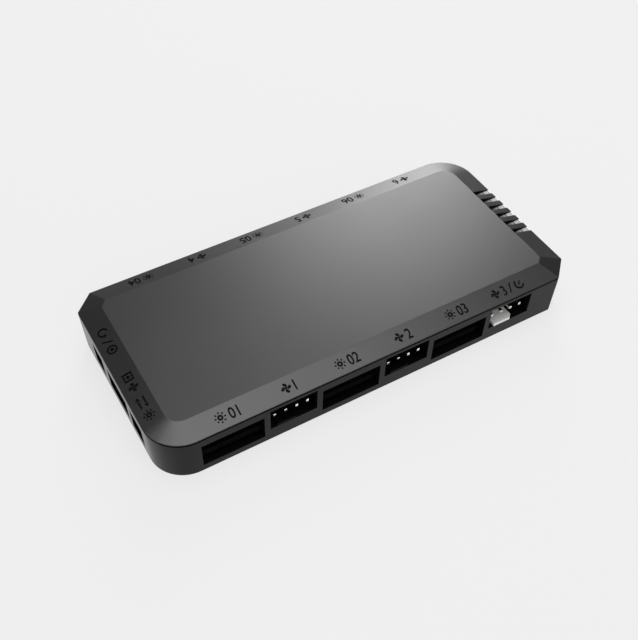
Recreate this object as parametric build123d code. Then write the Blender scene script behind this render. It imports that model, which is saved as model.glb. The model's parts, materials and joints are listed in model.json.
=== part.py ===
"""Fan and light hub for a computer case: a flat two-part plastic box with sockets in its walls.

Millimetres. X runs along the long front side, Y to the back, Z up; the origin is the middle of the underside.
Every socket is drawn in its own frame: origin on the outer face of its wall, -Y pointing out of the box.
"""

import os
from math import sqrt

from build123d import *

# Plates and walls of the box
floor_thickness = 1.2
wall = 1.8
top_thickness = 1.2
wall_draft = 0.3  # how far the walls lean in between the lid's edge and the floor
slope_width = 4.85  # sloped rim of the lid, seen from above
slope_rise = 1.3
corner_radius = 8.0  # front left and rear right corner
corner_cut = 4.3  # leg of the 45 degree cut, front right and rear left corner
base_bevel = 0.15
least_corner = 0.2  # smallest arc or cut that an inner outline may shrink to
cut_margin = 1.0  # how far a cutter runs past what it cuts

# Seam between lid and tray
seam_land = 0.12  # upright edge of the lid below its slope
seam_gap = 0.45  # height of the shadow line
seam_depth = 0.5
lip_height = 0.8  # ring below the lid that stands inside the tray wall
lip_width = 1.9
lip_clearance = 0.15

# Vent slots across the right rim, down to the tray's step and the lid's lip
vent_count = 6
vent_pitch = 3.0
vent_width = 1.4

# Circuit board and the pads under its middle
board_standoff = 0.8
board_thickness = 1.6
board_clearance = 0.4
rest_side = 3.0
rest_spacing = 40.0

# Cheese head screws in counterbores, and the posts that they pull together
screw_diameter = 1.9
screw_grip = 4.5  # length of screw above the board
screw_head_diameter = 3.8
screw_head_height = 1.0
screw_sunk = 0.15  # head above the underside
screw_play = 0.1
pilot_play = 0.05
cross_length = 2.2
cross_width = 0.5
cross_depth = 0.6
post_diameter = 4.4
post_clearance = 0.4

# Pins
pin_pitch = 2.54
pin = 0.64
pin_tip_bevel = 0.06
pin_play = 0.02  # between a pin and its housing
tail_play = 0.1  # between a pin's tail and its hole in the board
tail_hole_sides = 6  # these holes are tiny and hidden, so they are drawn with flat sides
tail_clearance = 0.2  # tails above the floor

# Socket rows along front and rear
ports_per_side = 6
port_divider = 1.32  # wall between neighbouring windows
middle_bay = 20.25  # board between the two rows
window_head = 0.73  # tray wall left above the tallest window

# Fan header: upright wafer with four pins and a keying tab below them
fan_pins = 4
fan_window_width = 10.8
fan_window_height = 5.95
fan_pin_rise = 2.25
fan_tip = 1.35  # pin tips behind the outer face
fan_reach = 7.5  # pin length in front of the wafer
fan_wafer = 3.2
fan_wafer_cover = 1.9  # wafer above the pin axis
fan_tail = 1.0  # from wafer to the middle of the tails
tab_width = 5.0
tab_offset = -1.4
tab_tip = 0.15  # end of the tab behind the outer face
tab_lift = 0.05
tab_thickness = 0.75
tab_corner = 0.65  # cut off its tip on the side of the last pin

# Light header: pin strip of four cells, one of them without a pin
light_cells = 4
light_blank_cell = 3  # counted from the left, seen from outside
light_window_width = 13.8
light_window_height = 6.55
light_window_drop = 1.75  # its lower edge below the board's top
light_tip = 3.0
light_reach = 6.0
strip_tail = 1.2  # from the strip to the middle of the tails
strip_cell_cut = 0.45

# Left wall: pin strips for the speed signal, the reset button and the light signal, in windows of one height
left_window_height = 5.55
left_window_drop = 1.3  # their lower edge below the board's top
left_tip = 2.2
left_reach = 3.8
left_bay_gap = 0.35
speed_cells = 4
speed_window_width = 10.2
speed_offset = -0.75  # middle of its socket, along Y
reset_cells = 2
reset_window_width = 5.4
reset_gap = 2.65  # wall between its window and the next
sync_cells = 3
sync_pitch = 2.0
sync_pin = 0.5
sync_window_width = 6.0
sync_gap = 1.85

# Right wall: power inlet of the drive type
inlet_width = 24.0
inlet_height = 5.2
inlet_depth = 9.0
inlet_setback = 0.6
inlet_wall = 0.75
inlet_cavity_depth = 6.2
inlet_play = 0.2
inlet_gap = 2.3  # board between the inlet and the nearest header
tongue_width = 20.6
tongue_thickness = 1.2
tongue_length = 5.4
tongue_key = 1.3
contact_count = 15
contact_pitch = 1.27
contact_width = 0.84
contact_thickness = 0.15
contact_length = 4.6

# Chips and capacitors on the middle of the board
chip_lift = 0.1
lead_reach = 1.0
lead_width = 0.36
lead_thickness = 0.2
controller_side = 7.0
controller_height = 1.4
controller_leads = 6
controller_lead_pitch = 1.0
controller_gap = 21.6  # from the left sockets to its body
buffer_length = 5.0
buffer_width = 3.9
buffer_height = 1.6
buffer_leads = 4
buffer_lead_pitch = 1.27
buffer_gap = 11.0  # from the controller's body to theirs
buffer_spacing = 8.4
regulator_length = 6.5
regulator_width = 3.5
regulator_height = 1.7
regulator_tab_width = 3.0
regulator_leads = 3
regulator_lead_pitch = 2.3
regulator_lead_width = 0.7
regulator_gap = 5.45  # from its body to the capacitors
capacitor_diameter = 6.3
capacitor_height = 5.4
capacitor_base = 6.6
capacitor_base_height = 0.9
capacitor_corner = 1.3
capacitor_gap = 6.61  # from their bases to the power inlet
capacitor_spacing = 9.0

# Levels, from the floor up
board_bottom = floor_thickness + board_standoff
board_top = board_bottom + board_thickness
tail_end = floor_thickness + tail_clearance
light_axis = board_top + pin_pitch / 2
light_window_low = board_top - light_window_drop
light_window_top = light_window_low + light_window_height
left_window_low = board_top - left_window_drop
left_window_top = left_window_low + left_window_height
fan_axis = board_top + fan_pin_rise
fan_window_top = board_top + fan_window_height
sync_axis = board_top + sync_pitch / 2
inlet_window_top = board_top + inlet_height + inlet_play
tray_edge = max(light_window_top, fan_window_top, left_window_top, inlet_window_top) + window_head
seam_z = tray_edge + seam_gap
slope_foot = seam_z + seam_land
case_height = slope_foot + slope_rise
ceiling = case_height - top_thickness

# Level run of each kind of pin, and how far its header reaches into the box
fan_run = fan_reach + fan_wafer + fan_tail
light_run = light_reach + pin_pitch + strip_tail
left_run = left_reach + pin_pitch + strip_tail
sync_run = left_reach + sync_pitch + strip_tail
row_depth = max(fan_tip + fan_run, light_tip + light_run) + pin / 2
left_bay = left_tip + max(left_run + pin / 2, sync_run + sync_pin / 2) + left_bay_gap
right_bay = inlet_setback + inlet_depth + inlet_gap

# Length and width follow from what stands in a row
fan_width = fan_pins * pin_pitch
light_width = light_cells * pin_pitch
port_pitch = (light_window_width + fan_window_width) / 2 + port_divider
row_length = (ports_per_side - 1) * port_pitch
case_length = left_bay + light_width / 2 + row_length + fan_width / 2 + right_bay
case_width = 2 * row_depth + middle_bay
first_port = -case_length / 2 + left_bay + light_width / 2
lip_outer = wall + lip_clearance
lip_inner = lip_outer + lip_width

# Posts stand as near to the corners as the rounded and the cut corner both allow
post_reach = wall + post_clearance + post_diameter / 2
round_inset = corner_radius - (corner_radius - post_reach) / sqrt(2)
cut_inset = (corner_cut + sqrt(2) * post_reach) / 2
post_inset = max(round_inset, cut_inset)
post_x = case_length / 2 - post_inset
post_y = case_width / 2 - post_inset

# Chips follow the sockets at the left end, regulator and capacitors the power inlet at the right end
controller_x = -case_length / 2 + left_bay + controller_gap + controller_side / 2
buffer_x = controller_x + controller_side / 2 + buffer_gap + buffer_length / 2
capacitor_x = case_length / 2 - inlet_setback - inlet_depth - capacitor_gap - capacitor_base / 2
regulator_x = capacitor_x - capacitor_base / 2 - regulator_gap - regulator_length / 2

standing = (Align.CENTER, Align.CENTER, Align.MIN)


def outline(inset):
    """Face within the box outline, moved inwards by inset."""
    x = case_length / 2 - inset
    y = case_width / 2 - inset
    r = max(corner_radius - inset, least_corner)
    cut = max(corner_cut - inset * (2 - sqrt(2)), least_corner)
    return make_face(
        [
            Line((-x + r, -y), (x - cut, -y)),
            Line((x - cut, -y), (x, -y + cut)),
            Line((x, -y + cut), (x, y - r)),
            CenterArc((x - r, y - r), r, 0, 90),
            Line((x - r, y), (-x + cut, y)),
            Line((-x + cut, y), (-x, y - cut)),
            Line((-x, y - cut), (-x, -y + r)),
            CenterArc((-x + r, -y + r), r, 180, 90),
        ]
    )


def prism(inset, low, high):
    return extrude(Pos(0, 0, low) * outline(inset), amount=high - low)


def bevelled(low_inset, low, high_inset, high):
    return loft([Pos(0, 0, low) * outline(low_inset), Pos(0, 0, high) * outline(high_inset)], ruled=True)


def block(x_size, y_low, y_high, z_low, z_high, x=0.0):
    """Box given by its width about x and by its lower and upper Y and Z."""
    size = (x_size, y_high - y_low, z_high - z_low)
    return Pos(x, (y_low + y_high) / 2, (z_low + z_high) / 2) * Box(*size)


def turned(*points):
    """Solid of revolution about Z from (radius, height) points."""
    return revolve(Plane.XZ * make_face(Polyline(*points, close=True)), Axis.Z)


def spread(count, pitch):
    return [(i - (count - 1) / 2) * pitch for i in range(count)]


fan_places = spread(fan_pins, pin_pitch)
light_places = [x for i, x in enumerate(spread(light_cells, pin_pitch), 1) if i != light_blank_cell]
speed_places = spread(speed_cells, pin_pitch)
reset_places = spread(reset_cells, pin_pitch)
sync_places = spread(sync_cells, sync_pitch)


def is_fan(index):
    """Light and fan sockets take turns along a row, starting with a light socket."""
    return index % 2 == 1


def front(index):
    return Pos(first_port + index * port_pitch, -case_width / 2, 0)


def rear(index):
    return Pos(first_port + index * port_pitch, case_width / 2, 0) * Rot(0, 0, 180)


def left(y):
    return Pos(-case_length / 2, y, 0) * Rot(0, 0, -90)


def right(y):
    return Pos(case_length / 2, y, 0) * Rot(0, 0, 90)


speed_place = left(speed_offset)
reset_place = left(speed_offset + (speed_window_width + reset_window_width) / 2 + reset_gap)
sync_place = left(speed_offset - (speed_window_width + sync_window_width) / 2 - sync_gap)
inlet_place = right(0)
post_places = [Pos(x, y, 0) for x in (-post_x, post_x) for y in (-post_y, post_y)]

# Strips of the left wall: place, pins along the strip, level run of a pin and its thickness
left_rows = [
    (speed_place, speed_places, left_run, pin),
    (reset_place, reset_places, left_run, pin),
    (sync_place, sync_places, sync_run, sync_pin),
]


def wall_inset(z):
    """How far the tray's leaning walls stand inside the box outline at a height."""
    return wall_draft * (1 - z / slope_foot)


def window(width, low, high):
    """Cutter for a wall window."""
    return block(width, -cut_margin, wall + cut_margin, low, high)


def vent_slots():
    """Cutters across the right rim: through the lid, open at the outer face and into the box."""
    size = (slope_width + cut_margin, vent_width, case_height - seam_z)
    slot = Box(*size, align=(Align.MIN, Align.CENTER, Align.MIN))
    return [Pos(case_length / 2 - slope_width, y, seam_z) * slot for y in spread(vent_count, vent_pitch)]


def stepped(head_radius, shank_radius, low, high):
    """Head and shank of a screw, or the hole for it, with the step at the seat of the head."""
    seat = screw_sunk + screw_head_height
    head = [(0, low), (head_radius, low), (head_radius, seat)]
    return turned(*head, (shank_radius, seat), (shank_radius, high), (0, high))


def screw_hole():
    """Counterbored hole up through the floor and a post."""
    head = screw_head_diameter / 2 + screw_play
    shank = screw_diameter / 2 + screw_play
    return stepped(head, shank, -cut_margin, board_bottom + cut_margin)


def make_bottom_case():
    body = bevelled(wall_inset(0) + base_bevel, 0, wall_inset(base_bevel), base_bevel)
    body += bevelled(wall_inset(base_bevel), base_bevel, wall_inset(tray_edge), tray_edge)
    body += prism(seam_depth, tray_edge, seam_z)
    body -= prism(wall, floor_thickness, seam_z + cut_margin)
    for x in spread(2, rest_spacing):
        body += Pos(x, 0, floor_thickness) * Box(rest_side, rest_side, board_standoff, align=standing)
    post = Pos(0, 0, floor_thickness) * Cylinder(post_diameter / 2, board_standoff, align=standing)
    for place in post_places:
        body += place * post
        body -= place * screw_hole()
    fan_window = window(fan_window_width, board_top, fan_window_top)
    light_window = window(light_window_width, light_window_low, light_window_top)
    for index in range(ports_per_side):
        cutter = fan_window if is_fan(index) else light_window
        body -= front(index) * cutter
        body -= rear(index) * cutter
    body -= speed_place * window(speed_window_width, left_window_low, left_window_top)
    body -= reset_place * window(reset_window_width, left_window_low, left_window_top)
    body -= sync_place * window(sync_window_width, left_window_low, left_window_top)
    body -= inlet_place * window(inlet_width + 2 * inlet_play, board_top - inlet_play, inlet_window_top)
    return body


def make_top_cover():
    body = prism(0, seam_z, slope_foot) + bevelled(0, slope_foot, slope_width, case_height)
    body += prism(lip_outer, seam_z - lip_height, seam_z)
    body -= prism(lip_inner, seam_z - lip_height, ceiling)
    for place in post_places:
        foot = place * Pos(0, 0, board_top)
        body += foot * Cylinder(post_diameter / 2, ceiling - board_top, align=standing)
        body -= foot * Cylinder(screw_diameter / 2 + pilot_play, screw_grip + screw_play, align=standing)
    return body - vent_slots()


def make_screw():
    screw = stepped(screw_head_diameter / 2, screw_diameter / 2, screw_sunk, board_top + screw_grip)
    slot = Pos(0, 0, screw_sunk) * Box(cross_length, cross_width, cross_depth, align=standing)
    return screw - slot - Rot(0, 0, 90) * slot


def bent_pin(tip, run, axis, size):
    """Square pin: level from its tip inwards, then down through the board."""
    level = block(size, tip, tip + run + size / 2, axis - size / 2, axis + size / 2)
    level = chamfer(level.faces().sort_by(Axis.Y)[0].edges(), pin_tip_bevel)
    return level + block(size, tip + run - size / 2, tip + run + size / 2, tail_end, axis)


def pin_row(places, tip, run, axis, size):
    return [Pos(x, 0, 0) * bent_pin(tip, run, axis, size) for x in places]


def tail_holes(places, tip, run, size):
    section = RegularPolygon((size * sqrt(2) + tail_play) / 2, tail_hole_sides, major_radius=False)
    drill = extrude(section, amount=board_thickness + 2 * cut_margin)
    return [Pos(x, tip + run, board_bottom - cut_margin) * drill for x in places]


def pin_channels(places, y_low, y_high, axis, size):
    """Cutters that let level pins pass through a housing."""
    side = size + 2 * pin_play
    return [block(side, y_low, y_high, axis - side / 2, axis + side / 2, x=x) for x in places]


def fan_housing():
    wafer_front = fan_tip + fan_reach
    wafer_back = wafer_front + fan_wafer
    tab_low = board_top + tab_lift
    tab = block(tab_width, tab_tip, wafer_front, tab_low, tab_low + tab_thickness, x=tab_offset)
    tab = chamfer(tab.edges().filter_by(Axis.Z).group_by(Axis.Y)[0].sort_by(Axis.X)[-1], tab_corner)
    body = block(fan_width, wafer_front, wafer_back, board_top, fan_axis + fan_wafer_cover) + tab
    return body - pin_channels(fan_places, wafer_front, wafer_back, fan_axis, pin)


def strip_housing(cells, filled, strip_front, pitch=pin_pitch, size=pin):
    """Pin strip whose cells have cut corners, as they snap apart there."""
    axis = board_top + pitch / 2
    plane = Plane(origin=(0, strip_front, axis), x_dir=(1, 0, 0), z_dir=(0, 1, 0))
    cell = chamfer(Rectangle(pitch, pitch).vertices(), strip_cell_cut)
    section = Sketch() + [Pos(x, 0) * cell for x in spread(cells, pitch)]
    body = extrude(plane * section, amount=pitch)
    return body - pin_channels(filled, strip_front, strip_front + pitch, axis, size)


cavity_end = inlet_setback + inlet_cavity_depth
tongue_low = board_top + (inlet_height - tongue_thickness) / 2
tongue_high = tongue_low + tongue_thickness


def make_power_inlet():
    """Shroud round a flat contact tongue with a key leg at one end."""
    low = board_top + inlet_wall
    high = board_top + inlet_height - inlet_wall
    body = block(inlet_width, inlet_setback, inlet_setback + inlet_depth, board_top, board_top + inlet_height)
    body -= block(inlet_width - 2 * inlet_wall, inlet_setback, cavity_end, low, high)
    tip = cavity_end - tongue_length
    body += block(tongue_width, tip, cavity_end, tongue_low, tongue_high)
    return body + block(tongue_key, tip, cavity_end, low, tongue_low, x=(tongue_width - tongue_key) / 2)


def make_power_contacts():
    tip = cavity_end - contact_length
    strip = block(contact_width, tip, cavity_end, tongue_high, tongue_high + contact_thickness)
    return [Pos(x, 0, 0) * strip for x in spread(contact_count, contact_pitch)]


def gull_lead(width, height):
    """Bent lead that leaves a chip's side along +X at the given height and stands on the board."""
    half = lead_thickness / 2
    bend = lead_reach / 2
    points = [
        (-bend, height - half),
        (bend - half, height - half),
        (bend - half, 0),
        (lead_reach, 0),
        (lead_reach, lead_thickness),
        (bend + half, lead_thickness),
        (bend + half, height + half),
        (-bend, height + half),
    ]
    face = Plane.XZ * make_face(Polyline(*points, close=True))
    return extrude(face, amount=width / 2, both=True)


def chip(length, width, height, leads, lead_pitch, all_sides):
    """Moulded chip standing on its leads, with leads on its two long sides or on all four."""
    body = block(length, -width / 2, width / 2, chip_lift, height)
    lead = gull_lead(lead_width, height / 2)
    for along in spread(leads, lead_pitch):
        body += Pos(along, width / 2, 0) * Rot(0, 0, 90) * lead
        body += Pos(along, -width / 2, 0) * Rot(0, 0, -90) * lead
        if all_sides:
            body += Pos(length / 2, along, 0) * lead
            body += Pos(-length / 2, along, 0) * Rot(0, 0, 180) * lead
    return body


def make_controller():
    side = controller_side
    body = chip(side, side, controller_height, controller_leads, controller_lead_pitch, True)
    return Pos(controller_x, 0, board_top) * body


def make_signal_buffers():
    body = chip(buffer_length, buffer_width, buffer_height, buffer_leads, buffer_lead_pitch, False)
    return [Pos(buffer_x, y, board_top) * body for y in spread(2, buffer_spacing)]


def make_regulator():
    side = regulator_width / 2
    body = block(regulator_length, -side, side, chip_lift, regulator_height)
    body += Pos(0, side, 0) * Rot(0, 0, 90) * gull_lead(regulator_tab_width, regulator_height / 2)
    for x in spread(regulator_leads, regulator_lead_pitch):
        body += Pos(x, -side, 0) * Rot(0, 0, -90) * gull_lead(regulator_lead_width, regulator_height / 2)
    return Pos(regulator_x, 0, board_top) * body


def make_capacitors():
    foot = Rectangle(capacitor_base, capacitor_base)
    foot = chamfer(foot.vertices().group_by(Axis.X)[-1], capacitor_corner)
    body = extrude(foot, amount=capacitor_base_height)
    can_height = capacitor_height - capacitor_base_height
    body += Pos(0, 0, capacitor_base_height) * Cylinder(capacitor_diameter / 2, can_height, align=standing)
    return [Pos(capacitor_x, y, board_top) * body for y in spread(2, capacitor_spacing)]


def make_board():
    body = prism(wall + board_clearance, board_bottom, board_top)
    drill = Cylinder(screw_diameter / 2 + screw_play, board_thickness + 2 * cut_margin)
    body -= [place * Pos(0, 0, (board_bottom + board_top) / 2) * drill for place in post_places]
    fan_holes = tail_holes(fan_places, fan_tip, fan_run, pin)
    light_holes = tail_holes(light_places, light_tip, light_run, pin)
    for index in range(ports_per_side):
        holes = fan_holes if is_fan(index) else light_holes
        body -= [place * hole for place in (front(index), rear(index)) for hole in holes]
    for place, places, run, size in left_rows:
        body -= [place * hole for hole in tail_holes(places, left_tip, run, size)]
    return body


def save(name, shape):
    """One node: a single solid, or a group of separate solids given as a list."""
    if isinstance(shape, list):
        shape = Compound(children=[solid for part in shape for solid in part.solids()])
    export_step(shape, os.path.join("parts", name + ".step"))


def save_placed(name, place, shapes):
    save(name, [place * shape for shape in shapes])


os.makedirs("parts", exist_ok=True)
save("bottom_case", make_bottom_case())
save("top_cover", make_top_cover())
save("circuit_board", make_board())
save_placed("power_inlet", inlet_place, [make_power_inlet()])
save_placed("power_contacts", inlet_place, make_power_contacts())
save("controller_chip", make_controller())
save("signal_buffers", make_signal_buffers())
save("voltage_regulator", make_regulator())
save("filter_capacitors", make_capacitors())
save("case_screws", [place * make_screw() for place in post_places])

fan_header = fan_housing()
fan_pin_row = pin_row(fan_places, fan_tip, fan_run, fan_axis, pin)
light_header = strip_housing(light_cells, light_places, light_tip + light_reach)
light_pin_row = pin_row(light_places, light_tip, light_run, light_axis, pin)
for side, place in (("front", front), ("rear", rear)):
    for index in range(ports_per_side):
        name = f"{side}_{index // 2 + 1}"
        kind = "fan" if is_fan(index) else "light"
        save_placed(f"{kind}_header_{name}", place(index), [fan_header if is_fan(index) else light_header])
        save_placed(f"{kind}_pins_{name}", place(index), fan_pin_row if is_fan(index) else light_pin_row)

strip_front = left_tip + left_reach
save_placed("speed_header", speed_place, [strip_housing(speed_cells, speed_places, strip_front)])
save_placed("speed_pins", speed_place, pin_row(speed_places, left_tip, left_run, light_axis, pin))
save_placed("reset_header", reset_place, [strip_housing(reset_cells, reset_places, strip_front)])
save_placed("reset_pins", reset_place, pin_row(reset_places, left_tip, left_run, light_axis, pin))
sync_header = strip_housing(sync_cells, sync_places, strip_front, sync_pitch, sync_pin)
save_placed("sync_header", sync_place, [sync_header])
save_placed("sync_pins", sync_place, pin_row(sync_places, left_tip, sync_run, sync_axis, sync_pin))
print(f"case {case_length:.2f} x {case_width:.2f} x {case_height:.2f}")
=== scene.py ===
import json
from math import cos, hypot, pi, radians, sin

import bmesh
import bpy
from mathutils import Matrix, Quaternion, Vector


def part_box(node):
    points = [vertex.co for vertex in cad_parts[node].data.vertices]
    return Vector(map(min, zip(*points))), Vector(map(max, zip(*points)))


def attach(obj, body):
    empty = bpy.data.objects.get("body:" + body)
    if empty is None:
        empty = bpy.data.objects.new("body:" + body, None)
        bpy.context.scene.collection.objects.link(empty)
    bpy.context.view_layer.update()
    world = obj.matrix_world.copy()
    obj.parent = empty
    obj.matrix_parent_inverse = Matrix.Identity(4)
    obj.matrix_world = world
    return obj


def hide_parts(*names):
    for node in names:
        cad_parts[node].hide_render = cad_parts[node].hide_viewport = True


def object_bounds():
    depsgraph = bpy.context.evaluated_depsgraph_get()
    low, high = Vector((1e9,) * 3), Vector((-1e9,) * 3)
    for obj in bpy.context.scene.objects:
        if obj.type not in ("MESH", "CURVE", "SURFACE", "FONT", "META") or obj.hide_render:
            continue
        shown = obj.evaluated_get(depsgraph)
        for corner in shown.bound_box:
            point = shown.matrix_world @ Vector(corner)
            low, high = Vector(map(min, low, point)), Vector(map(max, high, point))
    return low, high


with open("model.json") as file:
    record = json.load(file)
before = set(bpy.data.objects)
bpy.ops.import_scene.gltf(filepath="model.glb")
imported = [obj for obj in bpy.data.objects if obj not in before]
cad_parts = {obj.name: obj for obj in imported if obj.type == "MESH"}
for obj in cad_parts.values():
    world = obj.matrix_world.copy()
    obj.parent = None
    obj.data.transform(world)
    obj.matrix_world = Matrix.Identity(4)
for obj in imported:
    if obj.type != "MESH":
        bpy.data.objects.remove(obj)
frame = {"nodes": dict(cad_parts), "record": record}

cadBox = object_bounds()
mm = 0.001
hub = {  # outline and rim of the box, millimetres
    "cornerRadius": 8.0,
    "cornerCut": 4.3,
    "slopeWidth": 4.85,
    "slopeRise": 1.3,
    "wallDraft": 0.3,  # the walls stand this much further in at the floor
}
meshing = {
    "mergeDistance": 1e-4,
    "flatAngle": radians(0.5),  # triangles of one flat face become one polygon
    "smoothAngle": radians(11),
    "edgeSegments": 2,
    "edgeProfile": 0.6,
    "flatWeight": 100,  # how far wide faces keep their own shading
}
facing = {  # upright share of a face's normal
    "flat": 0.9,  # above this the face lies level
    "steep": 0.2,  # below this it stands up or looks down
    "under": -0.1,  # below this it looks down
}


class Wire:  # one output of a node, with plain maths on it
    def __init__(self, finish, socket):
        self.finish = finish
        self.socket = socket

    def __add__(self, other):
        return self.finish.maths("ADD", self, other)

    def __radd__(self, other):
        return self.finish.maths("ADD", other, self)

    def __sub__(self, other):
        return self.finish.maths("SUBTRACT", self, other)

    def __rsub__(self, other):
        return self.finish.maths("SUBTRACT", other, self)

    def __mul__(self, other):
        return self.finish.maths("MULTIPLY", self, other)

    def __rmul__(self, other):
        return self.finish.maths("MULTIPLY", other, self)

    def __gt__(self, other):
        return self.finish.maths("GREATER_THAN", self, other)


class Finish:  # a material whose nodes are added one by one
    def __init__(self, name, fixed):
        self.material = bpy.data.materials.new(name)
        self.material.use_nodes = True
        self.tree = self.material.node_tree
        self.shader = self.tree.nodes["Principled BSDF"]
        self.place = self.node("ShaderNodeTexCoord", out="Object")
        self.set(**fixed)

    def node(self, kind, settings=None, inputs=None, out=0):
        made = self.tree.nodes.new(kind)
        for key, value in (settings or {}).items():
            if key == "stops":
                for element, (spot, shade) in zip(made.color_ramp.elements, value):
                    element.position = spot
                    element.color = grey(shade)
            else:
                setattr(made, key, value)
        for key, value in (inputs or {}).items():
            self.feed(made.inputs[key], value)
        return Wire(self, made.outputs[out])

    def feed(self, socket, value):
        if isinstance(value, Wire):
            self.tree.links.new(value.socket, socket)
        else:
            socket.default_value = value

    def set(self, color=None, roughness=None, metallic=None, specular=None):
        values = {
            "Base Color": color,
            "Roughness": roughness,
            "Metallic": metallic,
            "Specular IOR Level": specular,
        }
        for key, value in values.items():
            if value is not None:
                self.feed(self.shader.inputs[key], value)

    def maths(self, operation, first, second):
        return self.node("ShaderNodeMath", {"operation": operation}, {0: first, 1: second})

    def noise(self, size, detail=2.0, stretch=(1, 1, 1)):  # size of the blotches in millimetres
        spot = self.node("ShaderNodeMapping", {}, {"Vector": self.place, "Scale": stretch})
        inputs = {"Vector": spot, "Scale": 1 / (size * mm), "Detail": detail}
        return self.node("ShaderNodeTexNoise", {}, inputs)

    def ramp(self, value, low, high):  # 0 below low, 1 above high
        stops = [(low, 0.0), (high, 1.0)]
        return self.node("ShaderNodeValToRGB", {"stops": stops}, {"Fac": value})

    def mix(self, share, first, second):  # a Mix node's colours go in at 6 and 7 and come out at 2
        return self.node("ShaderNodeMix", {"data_type": "RGBA"}, {0: share, 6: first, 7: second}, out=2)

    def axis(self, letter):
        return self.node("ShaderNodeSeparateXYZ", {}, {"Vector": self.place}, out=letter)

    def bump(self, height, depth, strength):  # depth in millimetres
        inputs = {"Strength": strength, "Distance": depth * mm, "Height": height}
        self.feed(self.shader.inputs["Normal"], self.node("ShaderNodeBump", {}, inputs))


def grey(value):
    return (value, value, value, 1)


# In the finishes below, sizes and depths are millimetres, and Rough values are added to the roughness
def mouldedPlasticFinish(name, dark, light, roughness, specular, grainSize, grainDepth):
    plastic = {
        "cloudSize": 14,
        "cloudDetail": 3,
        "cloudRough": 0.05,
        "grainRough": 0.04,
        "grainStrength": 0.6,
    }
    finish = Finish(name, {"specular": specular})
    cloud = finish.noise(plastic["cloudSize"], plastic["cloudDetail"])
    grain = finish.noise(grainSize)
    finish.set(
        color=finish.mix(cloud, grey(dark), grey(light)),
        roughness=roughness + plastic["cloudRough"] * cloud + plastic["grainRough"] * grain,
    )
    finish.bump(grain, grainDepth, plastic["grainStrength"])
    return finish.material


def ventFloorFinish():  # painted light: pale where light falls in from the side, painted shade darker towards the inside
    vent = {
        "pale": 0.46,
        "dark": 0.01,
        "paintedLightUpTo": 1.6,  # from the right end
        "paintedShadeFrom": 3.8,
        "specular": 0.3,
        "roughness": 0.5,
        "grainSize": 0.16,
        "grainRough": 0.1,
        "grainDepth": 0.006,
        "grainStrength": 0.6,
    }
    finish = Finish("ventFloor", {"specular": vent["specular"]})
    depth = cadBox[1].x - finish.axis("X")
    reach = {"Value": depth, "From Min": vent["paintedLightUpTo"] * mm, "From Max": vent["paintedShadeFrom"] * mm}
    share = finish.node("ShaderNodeMapRange", {}, reach)
    grain = finish.noise(vent["grainSize"])
    finish.set(
        color=finish.mix(share, grey(vent["pale"]), grey(vent["dark"])),
        roughness=vent["roughness"] + vent["grainRough"] * grain,
    )
    finish.bump(grain, vent["grainDepth"], vent["grainStrength"])
    return finish.material


def markInkFinish():
    ink = {
        "dark": 0.002,
        "light": 0.004,
        "specular": 0.15,
        "roughness": 0.6,
        "speckSize": 0.2,
        "speckRough": 0.2,
    }
    finish = Finish("markInk", {"specular": ink["specular"]})
    speck = finish.noise(ink["speckSize"])
    finish.set(
        color=finish.mix(speck, grey(ink["dark"]), grey(ink["light"])),
        roughness=ink["roughness"] + ink["speckRough"] * speck,
    )
    return finish.material


def headerPlasticFinish(name, dark, light, roughness, specular):
    resin = {
        "flowSize": 1.6,
        "flowDetail": 3,
        "flowStretch": (1, 0.4, 1),
        "flowRough": 0.1,
        "grainSize": 0.1,
        "grainDepth": 0.004,
        "grainStrength": 0.5,
    }
    finish = Finish(name, {"specular": specular})
    flow = finish.noise(resin["flowSize"], resin["flowDetail"], resin["flowStretch"])
    grain = finish.noise(resin["grainSize"])
    finish.set(color=finish.mix(flow, dark, light), roughness=roughness + resin["flowRough"] * flow)
    finish.bump(grain, resin["grainDepth"], resin["grainStrength"])
    return finish.material


def platedMetalFinish(name, dark, light, roughness):
    plating = {
        "streakSize": 0.25,
        "streakDetail": 3,
        "streakStretch": (1, 0.15, 1),
        "streakRough": 0.14,
        "streakDepth": 0.003,
        "streakStrength": 0.4,
    }
    finish = Finish(name, {"metallic": 1.0})
    streak = finish.noise(plating["streakSize"], plating["streakDetail"], plating["streakStretch"])
    finish.set(color=finish.mix(streak, dark, light), roughness=roughness + plating["streakRough"] * streak)
    finish.bump(streak, plating["streakDepth"], plating["streakStrength"])
    return finish.material


def boardFinish():
    board = {
        "mask": grey(0.0015),
        "copper": (0.003, 0.0035, 0.003, 1),  # tracks under the mask
        "trackPitch": 1.6,
        "trackEdge": 0.52,  # share of the pitch
        "trackBlur": 0.04,
        "trackDepth": 0.02,
        "trackStrength": 0.5,
        "specular": 0.05,
        "roughness": 0.5,
        "weaveSize": 0.5,
        "weaveRough": 0.12,
    }
    finish = Finish("solderMask", {"specular": board["specular"]})
    cells = finish.node(
        "ShaderNodeTexVoronoi",
        {"distance": "MANHATTAN"},
        {"Vector": finish.place, "Scale": 1 / (board["trackPitch"] * mm)},
        out="Distance",
    )
    track = finish.ramp(cells, board["trackEdge"], board["trackEdge"] + board["trackBlur"])
    weave = finish.noise(board["weaveSize"])
    finish.set(
        color=finish.mix(track, board["mask"], board["copper"]),
        roughness=board["roughness"] + board["weaveRough"] * weave,
    )
    finish.bump(track, board["trackDepth"], board["trackStrength"])
    return finish.material


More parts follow.
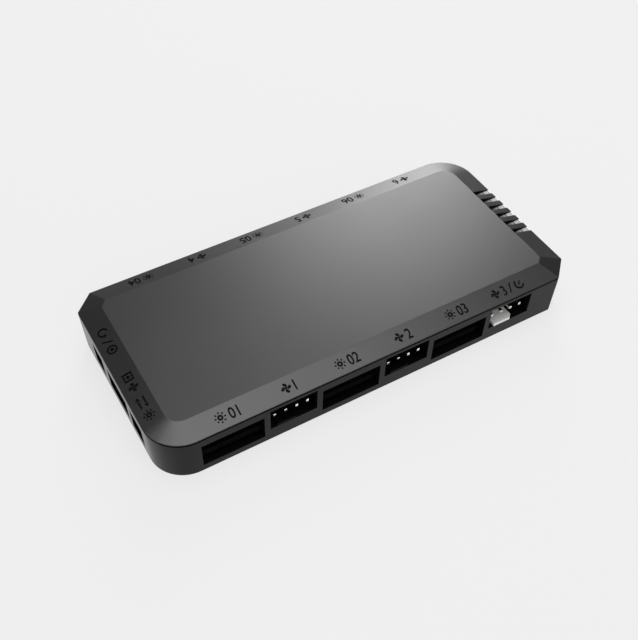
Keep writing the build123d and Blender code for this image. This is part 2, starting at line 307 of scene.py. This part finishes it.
def canFinish():
    can = {
        "base": grey(0.01),
        "baseHeight": 0.9,  # of the black foot under the can
        "metal": (0.72, 0.73, 0.74, 1),
        "roughness": 0.3,
        "streakSize": 0.4,
        "streakStretch": (1, 1, 0.1),
        "streakRough": 0.15,
    }
    finish = Finish("capacitorCan", {})
    inCan = finish.axis("Z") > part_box("filter_capacitors")[0].z + can["baseHeight"] * mm
    streak = finish.noise(can["streakSize"], stretch=can["streakStretch"])
    finish.set(
        color=finish.mix(inCan, can["base"], can["metal"]),
        roughness=can["roughness"] + can["streakRough"] * streak,
        metallic=inCan,
    )
    return finish.material


lidPlastic = mouldedPlasticFinish(
    "lidPlastic", dark=0.006, light=0.009, roughness=0.31, specular=0.7, grainSize=0.16, grainDepth=0.006
)
trayPlastic = mouldedPlasticFinish(
    "trayPlastic", dark=0.004, light=0.006, roughness=0.18, specular=0.12, grainSize=0.12, grainDepth=0.004
)
# painted shade: a darker, rougher, less glossy copy of the plastic for faces that lie in shade inside the
# box and the slots
insidePaintedShade = mouldedPlasticFinish(
    "insidePaintedShade", dark=0.0015, light=0.0025, roughness=0.6, specular=0.06, grainSize=0.2, grainDepth=0.01
)
# painted light and painted shade for the floors of the vent slots
ventFloor = ventFloorFinish()
markInk = markInkFinish()
headerBlack = headerPlasticFinish("headerBlack", grey(0.0015), grey(0.003), roughness=0.5, specular=0.035)
# painted shade: a darker, matter copy of headerBlack for the light sockets, which sit deep in the dark
# windows
headerPaintedShade = headerPlasticFinish("headerPaintedShade", grey(0.001), grey(0.0015), roughness=0.7, specular=0.03)
headerWhite = headerPlasticFinish(
    "headerWhite", (0.72, 0.72, 0.71, 1), (0.78, 0.78, 0.77, 1), roughness=0.4, specular=0.4
)
chipPlastic = headerPlasticFinish("chipPlastic", grey(0.012), grey(0.02), roughness=0.5, specular=0.4)
pinMetal = platedMetalFinish("pinMetal", (0.82, 0.82, 0.80, 1), (0.92, 0.92, 0.90, 1), roughness=0.16)
contactMetal = platedMetalFinish(
    "contactMetal", (0.70, 0.47, 0.16, 1), (0.86, 0.62, 0.25, 1), roughness=0.2
)
screwSteel = platedMetalFinish("screwSteel", (0.20, 0.20, 0.21, 1), (0.30, 0.30, 0.31, 1), roughness=0.3)
boardMask = boardFinish()
canMetal = canFinish()
print("finishes: plastic, ink, headers, metals, board")

slotFinish = {
    "case_plastic": trayPlastic,
    "header_black": headerBlack,
    "header_white": headerWhite,
    "pin_metal": pinMetal,
    "contact_metal": contactMetal,
    "board_laminate": boardMask,
    "chip_plastic": chipPlastic,
    "can_metal": canMetal,
    "screw_steel": screwSteel,
}
for part in frame["record"]["subparts"]:
    cadNode = frame["nodes"][part["node"]]
    cadNode.data.materials.clear()
    # the light sockets get the painted shade copy of the header plastic
    inTheDark = part["node"].startswith("light_header")
    cadNode.data.materials.append(headerPaintedShade if inTheDark else slotFinish[part["material_slot"]])


def clearSelection():
    if bpy.context.object and bpy.context.object.mode != "OBJECT":
        bpy.ops.object.mode_set(mode="OBJECT")
    bpy.ops.object.select_all(action="DESELECT")


def makeActive(piece):
    clearSelection()
    piece.select_set(True)
    bpy.context.view_layer.objects.active = piece


def lastMade(name):
    piece = bpy.context.object
    piece.name = name
    return piece


def applyPlace(piece):
    makeActive(piece)
    bpy.ops.object.transform_apply(location=True, rotation=True, scale=True)


def resize(piece, factor):  # edit tools have fixed thresholds, so pieces are worked on in millimetres
    piece.scale = (factor, factor, factor)
    applyPlace(piece)


def selectInEdit(piece, kind, test):  # opens the piece with only the wanted faces or edges selected
    makeActive(piece)
    bpy.ops.object.mode_set(mode="EDIT")
    bpy.ops.mesh.select_mode(type=kind)
    bpy.ops.mesh.select_all(action="DESELECT")
    work = bmesh.from_edit_mesh(piece.data)
    for item in work.faces if kind == "FACE" else work.edges:
        item.select_set(test(item))
    bmesh.update_edit_mesh(piece.data)


def nodeCopy(node, name):  # a copy of a solid's mesh, in millimetres, with its triangles merged
    makeActive(frame["nodes"][node])
    bpy.ops.object.duplicate()
    piece = lastMade(name)
    for key in list(piece.keys()):
        del piece[key]
    piece.parent = None
    bpy.ops.mesh.customdata_custom_splitnormals_clear()
    resize(piece, 1 / mm)
    bpy.ops.object.mode_set(mode="EDIT")
    bpy.ops.mesh.select_all(action="SELECT")
    bpy.ops.mesh.remove_doubles(threshold=meshing["mergeDistance"])
    bpy.ops.mesh.dissolve_limited(angle_limit=meshing["flatAngle"])
    bpy.ops.object.mode_set(mode="OBJECT")
    return piece


half = Vector(cadBox[1]) / mm  # half length, half width and height of the box
slopeFoot = half.z - hub["slopeRise"]


def insetOf(point):  # how far inside the outline a point lies
    x = half.x - abs(point.x)
    y = half.y - abs(point.y)
    inset = min(x, y)
    if point.x * point.y < 0:  # front right and rear left have cut corners
        return min(inset, (x + y - hub["cornerCut"]) / hypot(1, 1))
    radius = hub["cornerRadius"]
    if x < radius and y < radius:
        return radius - hypot(radius - x, radius - y)
    return inset


def depthInWall(point):  # how far a point lies behind the leaning outer wall
    return insetOf(point) - hub["wallDraft"] * (1 - point.z / slopeFoot)


def softenEdges(piece, width, test):
    def wanted(edge):
        if len(edge.link_faces) != 2 or not edge.is_convex:
            return False
        middle = (edge.verts[0].co + edge.verts[1].co) / 2
        return test(edge, middle)

    selectInEdit(piece, "EDGE", wanted)
    bpy.ops.mesh.bevel(
        offset=width,
        segments=meshing["edgeSegments"],
        profile=meshing["edgeProfile"],
        affect="EDGES",
        clamp_overlap=True,
    )
    bpy.ops.object.mode_set(mode="OBJECT")


def finishFaces(piece, finish, test):  # gives the wanted faces a finish of their own
    piece.data.materials.append(finish)
    selectInEdit(piece, "FACE", lambda face: test(face, face.calc_center_median()))
    piece.active_material_index = len(piece.data.materials) - 1
    bpy.ops.object.material_slot_assign()
    bpy.ops.object.mode_set(mode="OBJECT")


def finishShell(piece, node):
    resize(piece, mm)
    makeActive(piece)
    bpy.ops.object.shade_smooth_by_angle(angle=meshing["smoothAngle"])
    flatten = piece.modifiers.new("flatten", "WEIGHTED_NORMAL")  # wide faces stay flat beside soft edges
    flatten.keep_sharp = True
    flatten.weight = meshing["flatWeight"]
    bpy.ops.object.modifier_apply(modifier="flatten")
    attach(piece, "root")
    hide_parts(node)


tray = {
    "edge": 0.06,
    "edgeZone": 0.2,  # deeper than this behind the outer wall is inside
    "leastAngle": radians(20),
    "floor": 1.1,  # below this nothing is inside
    "step": 10.5,  # below this is no part of the step under the lid
}
trayShell = nodeCopy("bottom_case", "trayShell")
softenEdges(
    trayShell,
    tray["edge"],
    lambda edge, middle: (
        edge.calc_face_angle() > tray["leastAngle"] and depthInWall(middle) < tray["edgeZone"]
    ),
)
# painted shade: faces inside the tray, seen through the windows, are made near black
finishFaces(
    trayShell,
    insidePaintedShade,
    lambda face, middle: middle.z > tray["floor"] and depthInWall(middle) > tray["edgeZone"],
)
finishFaces(  # the step under the lid, which is the floor of the vent slots, gets painted light at the outer end and painted shade inwards
    trayShell,
    ventFloor,
    lambda face, middle: middle.z > tray["step"] and face.normal.z > facing["flat"],
)
finishShell(trayShell, "bottom_case")
print("tray: outer edges softened, inside matt")

marks = {  # engraved marks on the sloped rim, millimetres
    "height": 2.4,
    "depth": 0.3,
    "stroke": 0.42,
    "gap": 0.6,
    "digitSize": 3.4,
    "digitWidth": 0.8,  # share of the digit's own width
    "digitSwell": 0.06,
    "digitArcs": 4,
    "arcSteps": 24,
    "slopePlace": 2.42,  # middle of the marks, inwards from the outer edge
}
cutHeight = 2 * marks["depth"]
signReach = marks["height"] / 2  # from the middle of a sign to its outside


def bar(length, width, middle=(0, 0), turn=0.0):
    bpy.ops.mesh.primitive_cube_add(
        size=1, location=(*middle, 0), rotation=(0, 0, turn), scale=(length, width, cutHeight)
    )
    return lastMade("bar")


def disc(radius, middle=(0, 0), sides=32, stretch=(1, 1), turn=0.0):
    bpy.ops.mesh.primitive_cylinder_add(
        vertices=sides,
        radius=radius,
        depth=cutHeight,
        location=(*middle, 0),
        rotation=(0, 0, turn),
        scale=(*stretch, 1),
    )
    return lastMade("disc")


def hollow(piece):  # turns a disc or block into a ring of one stroke
    applyPlace(piece)
    selectInEdit(piece, "FACE", lambda face: abs(face.normal.z) > facing["flat"])
    bpy.ops.mesh.inset(thickness=marks["stroke"])
    bpy.ops.mesh.bridge_edge_loops()
    bpy.ops.object.mode_set(mode="OBJECT")
    return piece


def arc(radius, start, sweep):
    middle = radius - marks["stroke"] / 2
    bpy.ops.mesh.primitive_plane_add(
        size=1, location=(middle * cos(start), middle * sin(start), 0), rotation=(pi / 2, 0, start)
    )
    piece = lastMade("arc")
    piece.scale = (marks["stroke"], cutHeight, 1)
    applyPlace(piece)
    selectInEdit(piece, "FACE", lambda face: True)
    bpy.ops.mesh.spin(steps=marks["arcSteps"], angle=sweep, center=(0, 0, 0), axis=(0, 0, 1))
    bpy.ops.mesh.select_all(action="SELECT")
    bpy.ops.mesh.normals_make_consistent(inside=False)
    bpy.ops.object.mode_set(mode="OBJECT")
    return piece


def joined(pieces, name):
    for piece in pieces:
        applyPlace(piece)
    clearSelection()
    for piece in pieces:
        piece.select_set(True)
    bpy.context.view_layer.objects.active = pieces[0]
    bpy.ops.object.join()
    return lastMade(name)


# Lengths in the signs' dictionaries are shares of signReach, unless noted
def fanSign():
    fan = {"blades": 4, "place": 0.58, "blade": 0.42, "slim": 0.66, "turn": radians(38), "middle": 0.24}
    blades = []
    for count in range(fan["blades"]):
        angle = count * 2 * pi / fan["blades"]
        middle = (fan["place"] * signReach * cos(angle), fan["place"] * signReach * sin(angle))
        blades.append(disc(fan["blade"] * signReach, middle, 24, (1.0, fan["slim"]), angle + fan["turn"]))
    return joined([disc(fan["middle"] * signReach, sides=20), *blades], "fanSign")


def lightSign():
    light = {"rays": 8, "place": 0.86, "length": 0.34, "width": 0.26, "ring": 0.52}
    rays = []
    for count in range(light["rays"]):
        angle = count * 2 * pi / light["rays"]
        spot = (light["place"] * signReach * cos(angle), light["place"] * signReach * sin(angle))
        rays.append(bar(light["length"] * signReach, light["width"] * signReach, spot, angle))
    return joined([hollow(disc(light["ring"] * signReach)), *rays], "lightSign")


def gaugeSign():
    gauge = {
        "needle": 0.9,
        "needleWidth": 0.2,
        "needlePlace": (0.22, 0.28),
        "needleTurn": radians(50),
        "start": radians(-20),
        "sweep": radians(220),
        "pivot": 0.2,
    }
    middle = [share * signReach for share in gauge["needlePlace"]]
    needle = bar(gauge["needle"] * signReach, gauge["needleWidth"] * signReach, middle, gauge["needleTurn"])
    scale = arc(signReach, gauge["start"], gauge["sweep"])
    pivot = disc(gauge["pivot"] * signReach, sides=20)
    return joined([scale, pivot, needle], "gaugeSign")


def arrowHead(middle):  # a disc of three sides
    size = 0.5 * signReach
    return disc(size, middle, sides=3, turn=radians(-90))


def resetSign():
    reset = {"start": radians(20), "sweep": radians(290), "headPlace": 0.05}
    head = arrowHead((signReach - marks["stroke"] / 2, reset["headPlace"] * signReach))
    return joined([arc(signReach, reset["start"], reset["sweep"]), head], "resetSign")


def buttonSign():
    dot = 0.38 * signReach
    return joined([hollow(disc(signReach)), disc(dot)], "buttonSign")


def boardSign():
    side = 0.92 * marks["height"]
    dot = 0.2 * side
    return joined([hollow(bar(side, side)), disc(dot)], "boardSign")


def arrowSign():
    arrow = {
        "length": 2.6,  # millimetres
        "shaft": 0.7,  # share of the length
        "shaftPlace": -0.15,  # share of the length
        "headBack": 0.25,
    }
    length = arrow["length"]
    head = arrowHead((length / 2 - arrow["headBack"] * signReach, 0))
    shaft = bar(arrow["shaft"] * length, marks["stroke"], (arrow["shaftPlace"] * length, 0))
    return joined([shaft, head], "arrowSign")


def swapSign():
    apart = 0.28 * marks["height"]
    there = arrowSign()
    there.location.y = apart
    back = arrowSign()
    back.location.y = -apart
    back.rotation_euler.z = pi
    return joined([there, back], "swapSign")


def slashSign():
    slash = {"length": 1.05, "width": 0.7, "turn": radians(68)}  # shares of a mark's height and stroke
    length = marks["height"] * slash["length"]
    return joined([bar(length, slash["width"] * marks["stroke"], turn=slash["turn"])], "slashSign")


def extent(piece, axis):  # lowest and highest place along an axis
    return piece.bound_box[0][axis], piece.bound_box[6][axis]


def numberSign(body):
    bpy.ops.object.text_add()
    piece = lastMade("number")
    piece.data.body = body
    piece.data.size = marks["digitSize"]
    piece.data.extrude = cutHeight / 2
    piece.data.offset = marks["digitSwell"]
    piece.data.resolution_u = marks["digitArcs"]
    bpy.ops.object.convert(target="MESH")
    bpy.ops.object.mode_set(mode="EDIT")
    bpy.ops.mesh.select_all(action="SELECT")
    bpy.ops.mesh.remove_doubles(threshold=meshing["mergeDistance"])
    bpy.ops.mesh.normals_make_consistent(inside=False)
    bpy.ops.object.mode_set(mode="OBJECT")
    low, high = extent(piece, 1)
    piece.location.y = -(low + high) / 2
    piece.scale.x = marks["digitWidth"]
    applyPlace(piece)
    return piece


def markRow(signs):  # sets signs side by side, about the middle of the row
    along = 0.0
    for sign in signs:
        applyPlace(sign)
        low, high = extent(sign, 0)
        sign.location.x = along - low
        along += high - low + marks["gap"]
    row = joined(signs, "markRow")
    row.location.x = -(along - marks["gap"]) / 2
    applyPlace(row)
    return row


slopeTurn = Vector((hub["slopeWidth"], hub["slopeRise"])).normalized()  # run and rise of the slope
halfPlace = {"front": half.y, "rear": half.y, "left": half.x}
inward = {"front": Vector((0, 1, 0)), "rear": Vector((0, -1, 0)), "left": Vector((1, 0, 0))}


def setOnSlope(row, side, along):  # along: place on the rim, in millimetres along X or Y
    up = inward[side] * slopeTurn.x + Vector((0, 0, slopeTurn.y))
    right = inward[side].cross(Vector((0, 0, 1)))
    out = right.cross(up)
    place = inward[side] * (marks["slopePlace"] - halfPlace[side])
    place.z = slopeFoot + marks["slopePlace"] * hub["slopeRise"] / hub["slopeWidth"]
    place += along * Vector((abs(right.x), abs(right.y), 0))
    row.matrix_world = Matrix.Translation(place) @ Matrix((right, up, out)).transposed().to_4x4()
    applyPlace(row)
    return row


def middleOf(node):
    low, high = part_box(node)
    return (low + high) / (2 * mm)


pairsPerSide = 3  # a light and a fan socket each
cutters = []
for side, start in (("front", 0), ("rear", pairsPerSide)):
    for count in range(1, pairsPerSide + 1):
        number = start + count
        light = markRow([lightSign(), numberSign(f"{number:02d}")])
        cutters.append(setOnSlope(light, side, middleOf(f"light_header_{side}_{count}").x))
        signs = [fanSign(), numberSign(str(number))]
        if number == pairsPerSide:  # the white socket also reports the speed
            signs += [slashSign(), gaugeSign()]
        cutters.append(setOnSlope(markRow(signs), side, middleOf(f"fan_header_{side}_{count}").x))
leftRows = {  # places along the left rim
    8.0: [resetSign(), slashSign(), buttonSign()],
    -4.4: [boardSign(), fanSign()],
    -11.7: [swapSign(), lightSign()],
}
for along, signs in leftRows.items():
    cutters.append(setOnSlope(markRow(signs), "left", along))
cutter = joined(cutters, "markCutter")
cutter.data.materials.clear()
cutter.data.materials.append(markInk)
print("marks:", len(cutters), "rows of signs")

lid = {
    "edge": 0.1,
    "lowest": 10.5,  # edges below this stay sharp
    "leastAngle": radians(10),
    "ventFloor": 10.78,  # level faces below this belong to the lip
}
lidShell = nodeCopy("top_cover", "lidShell")
softenEdges(
    lidShell,
    lid["edge"],
    lambda edge, middle: (
        middle.z > lid["lowest"]
        and edge.calc_face_angle() > lid["leastAngle"]
        and all(face.normal.z > facing["under"] for face in edge.link_faces)
    ),
)
lidShell.data.materials.clear()
lidShell.data.materials.append(lidPlastic)
finishFaces(  # painted shade: underside, slot walls and the upright edge are made near black
    lidShell,
    insidePaintedShade,
    lambda face, middle: face.normal.z < facing["steep"],
)
finishFaces(  # the lip that shows at the bottom of the vent slots gets the same painted light and painted shade
    lidShell,
    ventFloor,
    lambda face, middle: face.normal.z > facing["flat"] and middle.z < lid["ventFloor"],
)
makeActive(lidShell)
engraving = lidShell.modifiers.new("engraving", "BOOLEAN")
engraving.object = cutter
engraving.operation = "DIFFERENCE"
engraving.solver = "EXACT"
engraving.use_self = True
engraving.material_mode = "TRANSFER"
bpy.ops.object.modifier_apply(modifier="engraving")
bpy.data.objects.remove(cutter)
finishShell(lidShell, "top_cover")
print("lid: engraved, faces", len(lidShell.data.polygons))

studio = {
    "floor": grey(0.82),
    "floorSize": 6.0,
    "floorDrop": 0.05,  # millimetres below the tray, so that the two faces don't lie in one plane
    "rim": 0.5,  # metres that the edge of the floor stands up
    "world": grey(0.09),
    "background": grey(0.855),
    "glow": 0.85,  # share of the even background in what is seen of the floor
}
softboxes = {  # around: degrees from +Y towards +X, up: degrees above the floor, metres and watts
    "topSoftbox": {
        "shape": "ELLIPSE", "around": 0, "up": 90, "away": 0.75, "size": (0.76, 0.76), "watts": 4.7,
    },
    "rearSoftbox": {
        "shape": "RECTANGLE", "around": 36, "up": 28, "away": 0.70, "size": (0.22, 0.38), "watts": 2.4,
    },
    "rearStrip": {
        "shape": "RECTANGLE", "around": 30, "up": 13, "away": 0.70, "size": (0.30, 0.10), "watts": 0.23,
    },
    "rearGlow": {
        "shape": "ELLIPSE", "around": 8, "up": 52, "away": 0.80, "size": (0.34, 0.22), "watts": 0.10,
    },
    "frontFill": {
        "shape": "RECTANGLE", "around": 180, "up": 24, "away": 0.80, "size": (1.10, 0.60), "watts": 3.4,
    },
}


def floorFinish():
    finish = Finish("floorPaper", {"color": studio["floor"], "roughness": 0.9, "specular": 0.1})
    glow = finish.node("ShaderNodeEmission", {}, {"Color": studio["background"], "Strength": 1.0})
    seen = finish.node("ShaderNodeLightPath", out="Is Camera Ray")
    mirrored = finish.node("ShaderNodeLightPath", out="Is Glossy Ray")
    through = finish.node("ShaderNodeLightPath", out="Is Transmission Ray")
    paper = Wire(finish, finish.shader.outputs[0])
    share = (seen + mirrored + through) * studio["glow"]
    blend = finish.node("ShaderNodeMixShader", {}, {0: share, 1: paper, 2: glow})
    finish.feed(finish.tree.nodes["Material Output"].inputs["Surface"], blend)
    return finish.material


clearSelection()
bpy.ops.mesh.primitive_plane_add(size=studio["floorSize"], location=(0, 0, -studio["floorDrop"] * mm))
floor = lastMade("floor")
selectInEdit(floor, "EDGE", lambda edge: True)
bpy.ops.mesh.extrude_region_move(TRANSFORM_OT_translate={"value": (0, 0, studio["rim"])})
bpy.ops.object.mode_set(mode="OBJECT")
floor.data.materials.append(floorFinish())

world = bpy.data.worlds.new("studio")
bpy.context.scene.world = world
world.use_nodes = True
world.node_tree.nodes["Background"].inputs["Color"].default_value = studio["world"]

for name, box in softboxes.items():
    around = radians(box["around"])
    up = radians(box["up"])
    direction = Vector((sin(around) * cos(up), cos(around) * cos(up), sin(up)))
    bpy.ops.object.light_add(type="AREA", location=direction * box["away"])
    lamp = lastMade(name)
    lamp.rotation_euler = direction.to_track_quat("Z", "Y").to_euler()
    lamp.data.shape = box["shape"]
    lamp.data.size, lamp.data.size_y = box["size"]
    lamp.data.energy = box["watts"]
print("studio: floor, world,", len(softboxes), "softboxes")

view = {  # the photograph's camera, in millimetres
    "place": Vector((-73.0426, -120.7801, 157.0695)),
    "target": Vector((-6.13, -7.45, 0.0)),
    "roll": radians(0.63),
    "lens": 51.934,
    "sensor": 36,
    "rise": 0.046875,  # lens shift, in widths of the picture
    "nearest": 5,
}
bpy.ops.object.camera_add(location=view["place"] * mm)
camera = lastMade("photoCamera")
look = (view["target"] - view["place"]).to_track_quat("-Z", "Y")
camera.rotation_mode = "QUATERNION"
camera.rotation_quaternion = look @ Quaternion((0, 0, 1), view["roll"])
camera.data.lens = view["lens"]
camera.data.sensor_width = view["sensor"]
camera.data.shift_y = view["rise"]
camera.data.clip_start = view["nearest"] * mm
bpy.context.scene.camera = camera
bpy.context.scene.view_settings.view_transform = "Standard"
print("camera: lens", view["lens"], "mm")
